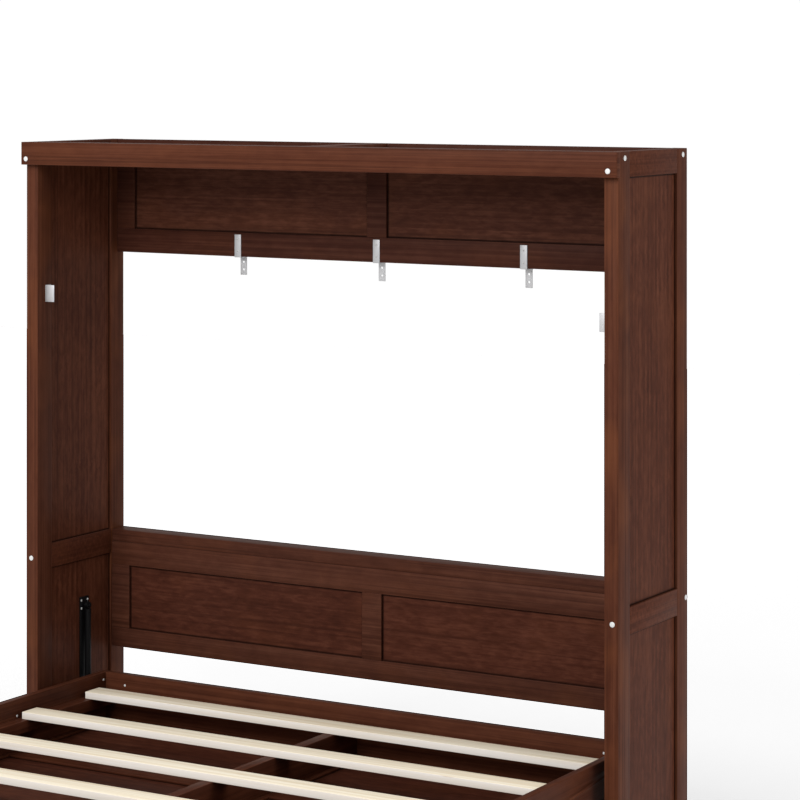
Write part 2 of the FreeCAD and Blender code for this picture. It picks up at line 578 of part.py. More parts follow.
def brackets():
    """Three bent steel brackets that hold the upper back frame to the wall, and the screws."""
    pieces = []
    heads = []
    front = "(upper_back_y - bracket_thick)"
    for count in range(3):
        x = f"(({count} - 1) * bracket_spacing - bracket_width / 2)"
        shelf = f"(wall_y - {front})"
        steps = (((0, 2), "bracket_up + bracket_thick"), ((1, 0), "bracket_thick"), ((0, -1), "bracket_up"),
                 ((3, 0), f"{shelf} - bracket_thick"), ((0, -4), "bracket_down + bracket_thick"),
                 ((-1, 0), "bracket_thick"), ((0, 3), None))
        strip = bent(f"bracket_strip_{count}", steps, "bracket_width", x, front, "upper_back_base - bracket_thick")
        holes = [rod(f"bracket_{count}_hole_{step}", f"{x} + bracket_width / 2", "wall_y - bracket_thick - cut_over",
                     f"upper_back_base - bracket_thick - bracket_hole_drop - {step} * bracket_hole_gap",
                     "bracket_hole", "bracket_thick + 2 * cut_over", "Y") for step in range(2)]
        pieces.append(carve(f"bracket_{count}", strip, holes))
        for step in range(2):
            at = f"upper_back_base + bracket_hole_drop + {step} * (bracket_up - 2 * bracket_hole_drop)"
            heads.append(rod(f"bracket_{count}_screw_{step}", f"{x} + bracket_width / 2", f"{front} - screw_high",
                             at, "screw_radius", "screw_high", "Y"))
    keep(group("wall_brackets", pieces))
    for word, sign in (("left", -1), ("right", 1)):
        low = sides(sign, "panel_in - lift_plate_thick - screw_high", "screw_high")
        for count in range(4):
            y = f"lift_y + ({count % 2} - 1 / 2) * plate_screw_apart"
            z = f"lift_plate_base + lift_plate_high - plate_screw_drop - {count // 2} * plate_screw_down"
            heads.append(rod(f"{word}_plate_screw_{count}", low, y, z, "screw_radius", "screw_high", "X"))
    keep(group("screw_heads", heads))


def stops():
    """An angled steel plate on each side, which the folded bed's face rests against."""
    pieces = []
    for word, sign in (("left", -1), ("right", 1)):
        low = "cabinet_height - stop_drop - stop_height"
        y = "front_y + face_inset + face_thick + stop_play"
        plate = block(f"{word}_stop_plate", sides(sign, "side_in - stop_thick", "stop_thick"), y, low,
                      "stop_thick", "stop_deep", "stop_height")
        lip = block(f"{word}_stop_lip", sides(sign, "side_in - stop_lip", "stop_lip"), y, low, "stop_lip",
                    "stop_thick", "stop_height")
        pieces.append(join(f"{word}_stop", [plate, lip]))
    keep(group("stop_plates", pieces))


def caps():
    """Round caps over the joint bolts, outside on the cabinet and inside the bed."""
    outside = []
    for word, sign, inset in (("left", -1, "board_cap_left"), ("right", 1, "board_cap_right")):
        mirror = "-" if sign < 0 else ""
        outside.append(rod(f"{word}_board_cap", f"{mirror}(cabinet_width / 2 - {inset})",
                           "front_y - fascia_thick - cap_high", "cabinet_height - board_cap_drop", "cap_radius",
                           "cap_high", "Y"))
        outside.append(rod(f"{word}_post_cap", f"{mirror}(cabinet_width / 2 - post_cap_in)", "front_y - cap_high",
                           "cabinet_height - joint_cap_drop", "cap_radius", "cap_high", "Y"))
        low = sides(sign, "cabinet_width / 2", "cap_high")
        top_z = "cabinet_height - side_cap_drop"
        for part, y, z in (("top_front", "front_y + side_cap_front", top_z),
                           ("top_rear", "wall_y - side_cap_rear", top_z),
                           ("low_rear", "wall_y - edge_cap_rear", "cabinet_height - edge_cap_drop")):
            outside.append(rod(f"{word}_{part}_cap", low, y, z, "cap_radius", "cap_high", "X"))
    keep(group("cabinet_caps", outside))
    inside = []
    head = "(head_y - rail_thick)"
    for word, sign in (("left", -1), ("right", 1)):
        low = sides(sign, "bed_in - small_cap_high", "small_cap_high")
        mirror = "-" if sign < 0 else ""
        inside.append(rod(f"{word}_corner_cap", low, f"{head} - corner_cap_in", "rail_top - corner_cap_drop",
                          "small_cap_radius", "small_cap_high", "X"))
        inside.append(rod(f"{word}_rail_cap", low, f"{head} - side_rail_cap_in", "rail_top - side_rail_cap_drop",
                          "small_cap_radius", "small_cap_high", "X"))
        inside.append(rod(f"{word}_head_cap", f"{mirror}(bed_in - head_cap_in)", f"{head} - small_cap_high",
                          "rail_top - head_cap_drop", "small_cap_radius", "small_cap_high", "Y"))
    keep(group("bed_caps", inside))


cabinet()
bed()
face()
legs()
pivots()
lifts()
brackets()
stops()
caps()
doc.recompute()

for piece in doc.Objects:
    if "Invalid" in piece.State or "Error" in piece.State:
        raise RuntimeError(f"{piece.Label} failed: {piece.State}")
for piece in NODES:
    if piece.Shape.isNull() or not piece.Shape.isValid() or not piece.Shape.Solids:
        raise RuntimeError(f"{piece.Label} has no valid solid")

os.makedirs("parts", exist_ok=True)
for piece in NODES:
    piece.Shape.exportStep(f"parts/{piece.Label}.step")
print(len(NODES), "sub-parts written")
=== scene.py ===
import math
import random

import bmesh
import bpy
from bpy.props import FloatProperty, FloatVectorProperty, IntProperty, PointerProperty
from mathutils import Matrix, Vector


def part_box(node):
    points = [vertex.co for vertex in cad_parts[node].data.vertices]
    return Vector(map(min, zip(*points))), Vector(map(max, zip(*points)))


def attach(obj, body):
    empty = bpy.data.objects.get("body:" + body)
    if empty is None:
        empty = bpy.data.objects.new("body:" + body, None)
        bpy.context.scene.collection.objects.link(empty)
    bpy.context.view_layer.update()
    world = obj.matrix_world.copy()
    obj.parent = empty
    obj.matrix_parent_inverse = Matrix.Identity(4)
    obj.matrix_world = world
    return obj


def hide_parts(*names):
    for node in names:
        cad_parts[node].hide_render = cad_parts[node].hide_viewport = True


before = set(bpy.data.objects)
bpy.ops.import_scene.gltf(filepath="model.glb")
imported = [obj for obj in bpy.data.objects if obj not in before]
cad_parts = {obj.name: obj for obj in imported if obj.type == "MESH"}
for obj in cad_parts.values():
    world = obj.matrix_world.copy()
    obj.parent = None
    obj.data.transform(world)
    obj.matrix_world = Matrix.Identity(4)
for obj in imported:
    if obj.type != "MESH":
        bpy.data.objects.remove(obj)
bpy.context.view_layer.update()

bl_info = {
    "name": "Wall Bed",
    "version": (1, 0, 0),
    "blender": (4, 5, 0),
    "location": "3D View > Sidebar > Wall Bed",
    "description": "Dresses the wall bed's frame with rounded boards, fittings and finishes",
    "category": "Add Mesh",
}

RANDOM = random.Random(7)
AXES = (Vector((1, 0, 0)), Vector((0, 1, 0)), Vector((0, 0, 1)))
SLANT = Vector((1, 0.3, 0.1))     # solids are taken in their order along this, where none tie
WHITE = (1, 1, 1, 1)

# Lengths are in metres.
NODE_MERGE = 0.00002              # points of a node's mesh nearer than this are one
DOME_MERGE = 0.000005             # the same for a turned dome
FLAT_ANGLE = math.radians(1)      # faces that meet at less than this become one
ROUNDED_ANGLE = math.radians(35)  # edges that turn by more than this are rounded
CREASE_ANGLE = math.radians(38)   # edges that turn by more than this stay crisp in the shading
PANEL_AREA = 0.05                 # larger faces of a panel are its front and back, in square metres

# The map of the grain.
MAP_REACH = 40                    # boards lie anywhere within this distance on the map
SIDE_SHIFT = 0.21                 # distance on the map between the two pairs of sides of a board
END_SQUEEZE = 0.15                # end grain is short, so its map is pressed together
END_FACING = 0.8                  # a face whose normal runs along the grain by this much is an end
BROAD_FACING = 0.7                # a face whose normal runs through the board by this much is broad

# A dome's outline: shares of its radius and of its height.
DOME = ((0, 0), (1, 0), (1, 0.35), (0.94, 0.68), (0.8, 0.88), (0.55, 0.97), (0, 1))
DOME_STEPS = 32
CROSS_WIDTH = 0.2                 # share of the radius, for the cross in a screw's head
CROSS_DEPTH, CROSS_MIDDLE = 0.3, 0.88  # shares of the height

# Marks on metal per metre along X, Y and Z.
BRUSHED = (900, 900, 30)
SPECKLED = (260, 260, 260)

FLOOR_REACH = 14
FLOOR_DROP = 0.0005               # the floor lies a little under the pads
VIEW_REACH = 60                   # the camera sees nothing beyond this distance
SENSOR_WIDTH = 36                 # in millimetres, as the focal length is


class WallBedBoards(bpy.types.PropertyGroup):
    """Edges and borders of the boards"""

    edge: FloatProperty(
        name="Edge", description="Rounding along a board's edges", default=0.0016, unit="LENGTH")
    edge_steps: IntProperty(
        name="Edge steps", description="Faces across a board's rounded edge", default=3)
    thin_edge: FloatProperty(
        name="Thin edge", description="Rounding along the edges of fittings", default=0.0008,
        unit="LENGTH")
    thin_edge_steps: IntProperty(
        name="Thin edge steps", description="Faces across a fitting's rounded edge", default=2)
    shortest: FloatProperty(
        name="Shortest edge", description="Edges under this length stay sharp", default=0.006,
        unit="LENGTH")
    broad: FloatProperty(
        name="Broad face", description="Faces wider than this are shaded flat", default=0.005,
        unit="LENGTH")
    hidden: FloatProperty(
        name="Hidden border", description="Width of a panel's border that its frame hides",
        default=0.0105, unit="LENGTH")
    # Painted shade: width of the dark band painted on a panel in the recess beside its frame.
    painted_shade_width: FloatProperty(
        name="Gathered stain", description="Width of the dark stain beside a panel's frame",
        default=0.005, unit="LENGTH")


class WallBedColours(bpy.types.PropertyGroup):
    """Colours of the finishes"""

    wood_dark: FloatVectorProperty(
        name="Dark wood", description="Dark lines of the stained wood", subtype="COLOR", size=4,
        default=(0.031, 0.0090, 0.0047, 1))
    wood_mid: FloatVectorProperty(
        name="Wood", description="Body of the stained wood", subtype="COLOR", size=4,
        default=(0.063, 0.0186, 0.0094, 1))
    wood_light: FloatVectorProperty(
        name="Light wood", description="Light lines of the stained wood", subtype="COLOR", size=4,
        default=(0.104, 0.0345, 0.0176, 1))
    wood_warm: FloatVectorProperty(
        name="Warm wood", description="Orange patches in the stained wood", subtype="COLOR",
        size=4, default=(0.150, 0.048, 0.018, 1))
    # Colour of the painted shade in the recesses round the panels.
    painted_shade: FloatVectorProperty(
        name="Gathered stain", description="Stain in the corners round the panels",
        subtype="COLOR", size=4, default=(0.006, 0.0022, 0.0014, 1))
    slat: FloatVectorProperty(
        name="Slat", description="Broad faces of the pale slats", subtype="COLOR", size=4,
        default=(0.86, 0.785, 0.635, 1))
    slat_side: FloatVectorProperty(
        name="Slat side", description="Narrow faces of the pale slats", subtype="COLOR", size=4,
        default=(0.84, 0.79, 0.735, 1))
    slat_line: FloatVectorProperty(
        name="Slat line", description="Grain lines of the pale slats", subtype="COLOR", size=4,
        default=(0.70, 0.575, 0.40, 1))
    knot: FloatVectorProperty(
        name="Knot", description="Knots in the pale slats", subtype="COLOR", size=4,
        default=(0.45, 0.27, 0.12, 1))
    steel: FloatVectorProperty(
        name="Steel", description="Brackets and fittings", subtype="COLOR", size=4,
        default=(0.56, 0.56, 0.57, 1))
    black: FloatVectorProperty(
        name="Black", description="Painted lift parts", subtype="COLOR", size=4,
        default=(0.0035, 0.0035, 0.004, 1))
    rod: FloatVectorProperty(
        name="Rod", description="Polished rods of the lifts", subtype="COLOR", size=4,
        default=(0.75, 0.76, 0.78, 1))
    cap: FloatVectorProperty(
        name="Cap", description="Bolt caps and screws", subtype="COLOR", size=4,
        default=(0.64, 0.64, 0.63, 1))
    pad: FloatVectorProperty(
        name="Pad", description="Pads under the legs", subtype="COLOR", size=4,
        default=(0.03, 0.03, 0.03, 1))
    floor_dark: FloatVectorProperty(
        name="Dark floor", description="Darker patches of the floor", subtype="COLOR", size=4,
        default=(0.39, 0.39, 0.39, 1))
    floor_light: FloatVectorProperty(
        name="Light floor", description="Lighter patches of the floor", subtype="COLOR", size=4,
        default=(0.41, 0.41, 0.41, 1))


class WallBedStage(bpy.types.PropertyGroup):
    """Camera and lights"""

    lens: FloatProperty(
        name="Lens", description="Focal length", default=124.2, unit="CAMERA")
    turn: FloatProperty(
        name="Turn", description="Camera's heading", default=math.radians(30.725),
        subtype="ANGLE")
    height: FloatProperty(
        name="Height", description="Camera's height", default=2.525, unit="LENGTH")
    across: FloatProperty(
        name="Across", description="Camera's place along the cabinet", default=4.823,
        unit="LENGTH")
    before: FloatProperty(
        name="Before", description="Camera's place in front of the bed's middle", default=-7.107,
        unit="LENGTH")
    shift: FloatProperty(
        name="Shift", description="Vertical shift of the picture", default=-0.4155)
    key_power: FloatProperty(
        name="Key power", description="Power of the main light", default=560, unit="POWER")
    side_power: FloatProperty(
        name="Side power", description="Power of the side light", default=170, unit="POWER")
    floor_power: FloatProperty(
        name="Floor power", description="Power of the light that only the floor takes",
        default=1000, unit="POWER")
    floor_glow: FloatProperty(
        name="Floor glow", description="Light that the floor gives off itself", default=0.12)
    sky: FloatProperty(
        name="Sky", description="Strength of the even light", default=0.52)
    backdrop: FloatProperty(
        name="Backdrop", description="Brightness of the white behind the bed", default=1.02)


class Wire:
    """An output socket that takes part in Python sums and makes the nodes for them. A wire without
    a socket only makes nodes."""

    def __init__(self, tree, socket=None):
        self.tree = tree
        self.socket = socket

    def node(self, kind, settings=None, output=0, **inputs):
        """Any other node: its type, its settings, and the values or links of its sockets. A
        socket's name has _ for a space, and i before a number stands for its place in the list."""
        made = self.tree.nodes.new(kind)
        for name, value in (settings or {}).items():
            setattr(made, name, value)
        for name, value in inputs.items():
            counted = name[0] == "i" and name[1:].isdigit()
            target = made.inputs[int(name[1:]) if counted else name.replace("_", " ")]
            if isinstance(value, Wire):
                self.tree.links.new(value.socket, target)
            else:
                target.default_value = value
        return Wire(self.tree, made.outputs[output])

    def sum(self, operation, first, second):
        """A Math node."""
        return self.node("ShaderNodeMath", {"operation": operation}, i0=first, i1=second)

    def __add__(self, other):
        return self.sum("ADD", self, other)

    __radd__ = __add__

    def __mul__(self, other):
        return self.sum("MULTIPLY", self, other)

    __rmul__ = __mul__

    def __sub__(self, other):
        return self.sum("SUBTRACT", self, other)

    def __rsub__(self, other):
        return self.sum("SUBTRACT", other, self)

    def band(self, low=0.3, high=0.7, bottom=0.0, top=1.0):
        """The value spread from low..high to bottom..top, held at both ends. Noise seldom leaves
        the band that stands as the default."""
        return self.node("ShaderNodeMapRange", {"clamp": True}, Value=self, From_Min=low,
                         From_Max=high, To_Min=bottom, To_Max=top)

    def mix(self, first, second):
        """Two colours mixed by this value."""
        return self.node("ShaderNodeMix", {"data_type": "RGBA"}, 2, i0=self, i6=first, i7=second)

    def scaled(self, *factors):
        """This place, stretched by three factors."""
        return self.node("ShaderNodeVectorMath", {"operation": "MULTIPLY"}, i0=self, i1=factors)

    def noise(self, scale=1.0, detail=3.0, rough=0.55, warp=0.0):
        """Noise at this place."""
        return self.node("ShaderNodeTexNoise", Vector=self, Scale=scale, Detail=detail,
                         Roughness=rough, Distortion=warp)

    def bump(self, strength, distance):
        """The normal of a surface with this height."""
        return self.node("ShaderNodeBump", Strength=strength, Distance=distance, Height=self)


def tinted(colour, cast):
    """A colour with each of its channels multiplied by its own share."""
    return (*(channel * share for channel, share in zip(colour, cast)), 1)


def new_material(name, **constants):
    """A material with its shader's constants set, its node tree and its shader."""
    material = bpy.data.materials.new(name)
    material.use_nodes = True
    tree = material.node_tree
    shader = tree.nodes["Principled BSDF"]
    for key, value in constants.items():
        shader.inputs[key.replace("_", " ")].default_value = value
    return material, tree, shader


def feed(shader, **wires):
    """Link wires to a shader's sockets."""
    for key, wire in wires.items():
        wire.tree.links.new(wire.socket, shader.inputs[key.replace("_", " ")])


def grain_place(tree):
    """Metres along the grain and across it, the board's own number, where shade is painted on it
    beside a frame, and its narrow sides."""
    start = Wire(tree)
    marks = (start.node("ShaderNodeAttribute", {"attribute_name": name}, "Fac")
             for name in ("board", "seam", "narrow"))
    return start.node("ShaderNodeUVMap", {"uv_map": "grain"}), *marks


def object_place(tree):
    """Object coordinates, in metres."""
    return Wire(tree).node("ShaderNodeTexCoord", output="Object")


def stained_wood(name, colours, figure, curl, lift, cast=(1, 1, 1), ribs=0.0, glow=0.1):
    """Stained wood: fine straight lines along the grain, a soft figure of short marks in drifting
    clouds, patches of ribs side by side and a few orange patches. Figure is the share of the soft
    figure and curl its marks per metre along and across the grain, lift makes the wood lighter,
    cast tints it, and ribs and glow are the strength of the ribs and of the orange."""
    material, tree, shader = new_material(name, IOR=1.45, Specular_IOR_Level=0.05)
    dark, middle, light = (tinted(colour, cast) for colour in
                           (colours.wood_dark, colours.wood_mid, colours.wood_light))
    place, board, seam, _ = grain_place(tree)

    pores = place.scaled(9, 640, 1).noise(detail=3, rough=0.6)
    fine = place.scaled(1.6, 210, 1).noise(detail=4, rough=0.6, warp=0.1)
    pins = place.scaled(1, 95, 1).noise(detail=3, rough=0.5, warp=0.1)
    bands = place.scaled(0.6, 30, 1).noise(detail=4, rough=0.5, warp=0.3)
    streaks = place.scaled(0.6, 62, 1).noise(detail=6, rough=0.72, warp=0.15)
    clouds = place.scaled(3.5, 9, 1).noise(detail=3, rough=0.5, warp=0.6)
    marks = place.scaled(*curl, 1).noise(detail=3, rough=0.6, warp=0.3)
    patches = place.scaled(8, 6, 1).noise(detail=2)
    ribbed = place.node("ShaderNodeTexWave", {"bands_direction": "Y"}, 1, Vector=place, Scale=11,
                        Distortion=3, Detail=2, Detail_Scale=6)
    warmth = place.scaled(4.5, 5, 1).noise(detail=2, rough=0.4, warp=0.4)

    lines = fine.band() * 0.3 + pins.band(0.32, 0.68) * 0.45 + bands.band() * 0.25
    soft = clouds.band() * 0.35 + marks.band(0.34, 0.66) * 0.65
    value = lines * (1 - figure) + soft * figure + (board - 0.5) * 0.14 + lift
    value += (ribbed - 0.5) * patches.band(0.42, 0.6) * ribs
    pore = pores.band(0.55, 0.72, 0, 0.25) + streaks.band(0.5, 0.66, 0, 0.6)

    colour = value.band(0.05, 0.5).mix(dark, middle)
    colour = value.band(0.5, 0.95).mix(colour, light)
    colour = warmth.band(0.5, 0.66, 0, glow).mix(colour, tuple(colours.wood_warm))
    colour = pore.mix(colour, dark)
    # Painted shade: panels darken towards their frames, as the recess there is in shade.
    colour = seam.band(0, 1, 0, 0.8).mix(colour, tuple(colours.painted_shade))
    feed(shader, Base_Color=colour,
         Roughness=fine.band(bottom=0.5, top=0.4),
         Normal=(pores * 0.4 + fine * 0.6).bump(0.15, 0.0005))
    return material


def pale_wood(name, colours):
    """Pale planed softwood with faint lines and a few knots."""
    material, tree, shader = new_material(name, IOR=1.5, Specular_IOR_Level=0.3)
    place, board, _, narrow = grain_place(tree)
    lines = place.scaled(1.1, 70, 1).noise(detail=4, warp=0.5)
    drift = place.scaled(0.5, 14, 1).noise(detail=3, rough=0.5, warp=0.6)
    knots = place.node("ShaderNodeTexVoronoi", Vector=place.scaled(2.6, 13, 1), Scale=1)
    value = lines.band(0.42, 0.62) * 0.75 + drift.band(0.35, 0.7) * 0.3 + board * 0.1
    body = narrow.mix(tuple(colours.slat), tuple(colours.slat_side))
    colour = (value * (1 - narrow * 0.6) * 0.8).mix(body, tuple(colours.slat_line))
    feed(shader, Base_Color=knots.band(0.02, 0.09, 0.5, 0).mix(colour, tuple(colours.knot)),
         Roughness=lines.band(bottom=0.62, top=0.5),
         Normal=lines.bump(0.15, 0.0005))
    return material


def metal(name, colours, colour, metallic, rough, spread, cells, gloss=0.5):
    """Metal or hard paint with fine marks and a faint unevenness. Spread is how much darker than
    the colour it gets, and cells says how many marks there are to a metre each way."""
    material, tree, shader = new_material(name, Metallic=metallic, Specular_IOR_Level=gloss)
    place = object_place(tree)
    marks = place.scaled(*cells).noise()
    drift = place.noise(14)
    light = tuple(getattr(colours, colour))
    dark = tinted(light, [1 - spread] * 3)
    feed(shader, Base_Color=(marks.band() * 0.6 + drift.band() * 0.4).mix(dark, light),
         Roughness=marks.band(bottom=rough - 0.05, top=rough + 0.08),
         Normal=marks.bump(0.08, 0.0003))
    return material


def plastic(name, colours, colour, rough, spread):
    """Moulded plastic or rubber with a fine skin. Spread is how much darker than the colour it
    gets."""
    material, tree, shader = new_material(name, Specular_IOR_Level=0.5)
    place = object_place(tree)
    skin = place.noise(1400, detail=2)
    drift = place.noise(45, detail=2)
    light = tuple(getattr(colours, colour))
    dark = tinted(light, [1 - spread] * 3)
    feed(shader, Base_Color=drift.band().mix(dark, light),
         Roughness=drift.band(bottom=rough - 0.04, top=rough + 0.06),
         Normal=skin.bump(0.06, 0.0002))
    return material


# How each finish is made. The back's woods are tinted for the shade that they stand in.
FINISHES = {
    "front_boards": (stained_wood, {"figure": 0.2, "curl": (12, 30), "lift": 0.16}),
    "posts": (stained_wood, {"figure": 0.25, "curl": (12, 30), "lift": 0.12,
                             "cast": (1.03, 1.06, 1.08), "glow": 0.32}),
    "rails": (stained_wood, {"figure": 0.55, "curl": (85, 60), "lift": 0.06,
                             "cast": (1.06, 1.04, 1.04)}),
    "panels": (stained_wood, {"figure": 0.5, "curl": (18, 55), "lift": 0.06,
                              "cast": (1.08, 1.07, 1.07), "ribs": 0.3}),
    "back_boards": (stained_wood, {"figure": 0.3, "curl": (15, 30), "lift": 0.05,
                                   "cast": (0.99, 1.12, 1.30)}),
    "back_panels": (stained_wood, {"figure": 0.6, "curl": (18, 60), "lift": 0.02,
                                   "cast": (0.94, 0.94, 1.06)}),
    "upper_boards": (stained_wood, {"figure": 0.3, "curl": (15, 30), "lift": 0.05,
                                    "cast": (0.78, 0.84, 1.02)}),
    "upper_panels": (stained_wood, {"figure": 0.6, "curl": (18, 60), "lift": 0.02,
                                    "cast": (1.04, 1.16, 1.34)}),
    "bed_boards": (stained_wood, {"figure": 0.3, "curl": (12, 30), "lift": 0.08}),
    "face_boards": (stained_wood, {"figure": 0.3, "curl": (12, 30), "lift": 0.0}),
    "slats": (pale_wood, {}),
    "steel": (metal, {"colour": "steel", "metallic": 0.5, "rough": 0.5, "spread": 0.1,
                      "cells": BRUSHED}),
    "bright_rod": (metal, {"colour": "rod", "metallic": 1.0, "rough": 0.16, "spread": 0.08,
                           "cells": BRUSHED}),
    "black_paint": (metal, {"colour": "black", "metallic": 0.0, "rough": 0.5, "spread": 0.3,
                            "cells": SPECKLED, "gloss": 0.16}),
    "caps": (plastic, {"colour": "cap", "rough": 0.3, "spread": 0.05}),
    "pads": (plastic, {"colour": "pad", "rough": 0.7, "spread": 0.3}),
}
MATERIALS = {}


def finish_named(name):
    """Make a finish the first time it is asked for."""
    if name not in MATERIALS:
        maker, settings = FINISHES[name]
        MATERIALS[name] = maker(name, bpy.context.scene.wall_bed_colours, **settings)
    return MATERIALS[name]


def merged_copy(node):
    """A copy of a node's mesh with its loose triangles joined to flat faces."""
    shape = bmesh.new()
    shape.from_mesh(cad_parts[node].data)
    bmesh.ops.remove_doubles(shape, verts=shape.verts, dist=NODE_MERGE)
    bmesh.ops.dissolve_limit(shape, angle_limit=FLAT_ANGLE, verts=shape.verts, edges=shape.edges)
    return shape


def round_edges(shape, width, steps, shortest):
    """Round the long sharp edges."""
    edges = [edge for edge in shape.edges
             if len(edge.link_faces) == 2 and edge.calc_length() > shortest
             and edge.calc_face_angle(0) > ROUNDED_ANGLE]
    bmesh.ops.bevel(shape, geom=edges, affect="EDGES", offset=width, offset_type="OFFSET",
                    segments=steps, profile=0.5, material=-1, clamp_overlap=True)


def corners(faces):
    """The lowest and highest corner of the box round some faces."""
    points = [vert.co for face in faces for vert in face.verts]
    return tuple(Vector([end(point[axis] for point in points) for axis in range(3)])
                 for end in (min, max))


def islands(shape):
    """The faces of each separate solid in a mesh, in an order that is the same each run."""
    left = set(shape.faces)
    solids = []
    while left:
        heads = [left.pop()]
        found = set(heads)
        while heads:
            for edge in heads.pop().edges:
                for other in edge.link_faces:
                    if other not in found:
                        found.add(other)
                        heads.append(other)
        left -= found
        solids.append(found)
    return sorted(solids, key=lambda faces: corners(faces)[0].dot(SLANT))


def mark_borders(shape, hidden, painted_shade_width):
    """Mark the painted shade on a panel, in the recess next to the frame that holds it."""
    seam = shape.verts.layers.float.new("seam")
    panels = [face for face in shape.faces if face.calc_area() > PANEL_AREA]
    for vert in shape.verts:
        vert[seam] = 1
    for thickness, painted_shade in ((hidden, 1), (painted_shade_width, 0)):
        bmesh.ops.inset_individual(shape, faces=panels, thickness=thickness, use_even_offset=True)
        for face in panels:
            for vert in face.verts:
                vert[seam] = painted_shade


def map_grain(shape, along=None):
    """Lay each board's map with its first direction along the grain, which is its longest way
    unless along names an axis. Each board gets a number and a place on the map of its own."""
    layer = shape.loops.layers.uv.new("grain")
    board = shape.faces.layers.float.new("board")
    narrow = shape.faces.layers.float.new("narrow")
    for faces in islands(shape):
        low, high = corners(faces)
        size = list(high - low)
        grain = size.index(max(size)) if along is None else along
        thin = size.index(min(size))
        shift = Vector((RANDOM.uniform(0, MAP_REACH), RANDOM.uniform(0, MAP_REACH)))
        number = RANDOM.random()
        others = [axis for axis in range(3) if axis != grain]
        for face in faces:
            normal = face.normal
            facing = max(others, key=lambda axis: abs(normal[axis]))
            across = others[0] if facing == others[1] else others[1]
            side = SIDE_SHIFT if facing == others[0] else 0
            if abs(normal[grain]) > END_FACING:
                facing = grain
                side = 0
            face[board] = number
            face[narrow] = abs(normal[thin]) <= BROAD_FACING
            for loop in face.loops:
                point = loop.vert.co
                run = point[others[0]] * END_SQUEEZE if facing == grain else point[grain]
                loop[layer].uv = Vector((run, point[across] + side)) + shift


def place_piece(name, shape, body, finish, node):
    """Turn a shape into a finished piece that rides on a body and replaces a node. Its broad faces
    are shaded flat up to their edges."""
    broad = bpy.context.scene.wall_bed_boards.broad
    for face in shape.faces:
        longest = max(edge.calc_length() for edge in face.edges)
        face.smooth = face.calc_area() < broad * longest
    mesh = bpy.data.meshes.new(name)
    shape.to_mesh(mesh)
    shape.free()
    mesh.set_sharp_from_angle(angle=CREASE_ANGLE)
    piece = bpy.data.objects.new(name, mesh)
    bpy.context.scene.collection.objects.link(piece)
    piece.data.materials.append(finish_named(finish))
    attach(piece, body)
    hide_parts(node)
    return piece


def dress_boards(nodes, body, finish, along=None, framed=False):
    """Round the edges of each node's boards and lay the grain along them. Panels that a frame
    holds get painted shade beside it."""
    settings = bpy.context.scene.wall_bed_boards
    for node in nodes:
        shape = merged_copy(node)
        round_edges(shape, settings.edge, settings.edge_steps, settings.shortest)
        if framed:
            mark_borders(shape, settings.hidden, settings.painted_shade_width)
        map_grain(shape, along)
        place_piece(f"{node}_dressed", shape, body, finish, node)


def dress_fittings(nodes, body, finish):
    """Round the edges of metal or rubber fittings."""
    settings = bpy.context.scene.wall_bed_boards
    for node in nodes:
        shape = merged_copy(node)
        round_edges(shape, settings.thin_edge, settings.thin_edge_steps, settings.shortest)
        place_piece(f"{node}_dressed", shape, body, finish, node)


def turned_dome(seat, outward, radius, tall, recess):
    """A low dome turned round its axis, standing on its seat and pointing outward. With a recess,
    a cross of the second material lies in its top."""
    shape = bmesh.new()
    verts = [shape.verts.new((radius * x, 0, tall * z)) for x, z in DOME]
    edges = [shape.edges.new(pair) for pair in zip(verts, verts[1:])]
    bmesh.ops.spin(shape, geom=verts + edges, cent=(0, 0, 0), axis=(0, 0, 1), dvec=(0, 0, 0),
                   angle=math.tau, steps=DOME_STEPS, use_merge=True, use_duplicate=False)
    bmesh.ops.remove_doubles(shape, verts=shape.verts, dist=DOME_MERGE)
    bmesh.ops.recalc_face_normals(shape, faces=shape.faces)
    if recess:
        lift = Matrix.Translation((0, 0, tall * CROSS_MIDDLE))
        scale = Matrix.Diagonal((radius, radius * CROSS_WIDTH, tall * CROSS_DEPTH, 1))
        for angle in (0, math.pi / 2):
            bar = bmesh.ops.create_cube(shape, size=1)["verts"]
            bmesh.ops.transform(shape, matrix=lift @ Matrix.Rotation(angle, 4, "Z") @ scale,
                                verts=bar)
            for face in {face for vert in bar for face in vert.link_faces}:
                face.material_index = 1
    turn = Vector((0, 0, 1)).rotation_difference(outward).to_matrix().to_4x4()
    bmesh.ops.transform(shape, matrix=Matrix.Translation(seat) @ turn, verts=shape.verts)
    return shape


def add_shape(shape, other):
    """Put another shape's faces into this one."""
    mesh = bpy.data.meshes.new("part")
    other.to_mesh(mesh)
    other.free()
    shape.from_mesh(mesh)
    bpy.data.meshes.remove(mesh)


def disc_places(node):
    """Centre, thin axis, radius and thickness of each disc in a node."""
    shape = merged_copy(node)
    found = []
    for faces in islands(shape):
        low, high = corners(faces)
        size = list(high - low)
        found.append(((low + high) / 2, size.index(min(size)), max(size) / 2, min(size)))
    shape.free()
    return found


class WALLBED_OT_sides(bpy.types.Operator):
    """Dress both sides of the cabinet"""

    bl_idname = "wallbed.sides"
    bl_label = "Cabinet sides"

    def execute(self, context):
        for word in ("left", "right"):
            side = f"{word}_side_"
            dress_boards([side + "front_stile", side + "rear_stile"], "cabinet", "posts")
            dress_boards([side + "top_rail", side + "middle_rail", side + "bottom_rail"],
                         "cabinet", "rails")
            dress_boards([side + "upper_panel", side + "lower_panel"], "cabinet", "panels",
                         framed=True)
        return {"FINISHED"}


class WALLBED_OT_top(bpy.types.Operator):
    """Dress the front board and the cabinet's top"""

    bl_idname = "wallbed.top"
    bl_label = "Cabinet top"

    def execute(self, context):
        dress_boards(["top_front_board"], "cabinet", "front_boards")
        dress_boards(["top_front_rail", "top_cross_board"], "cabinet", "rails")
        dress_boards(["top_panels"], "cabinet", "panels")
        return {"FINISHED"}


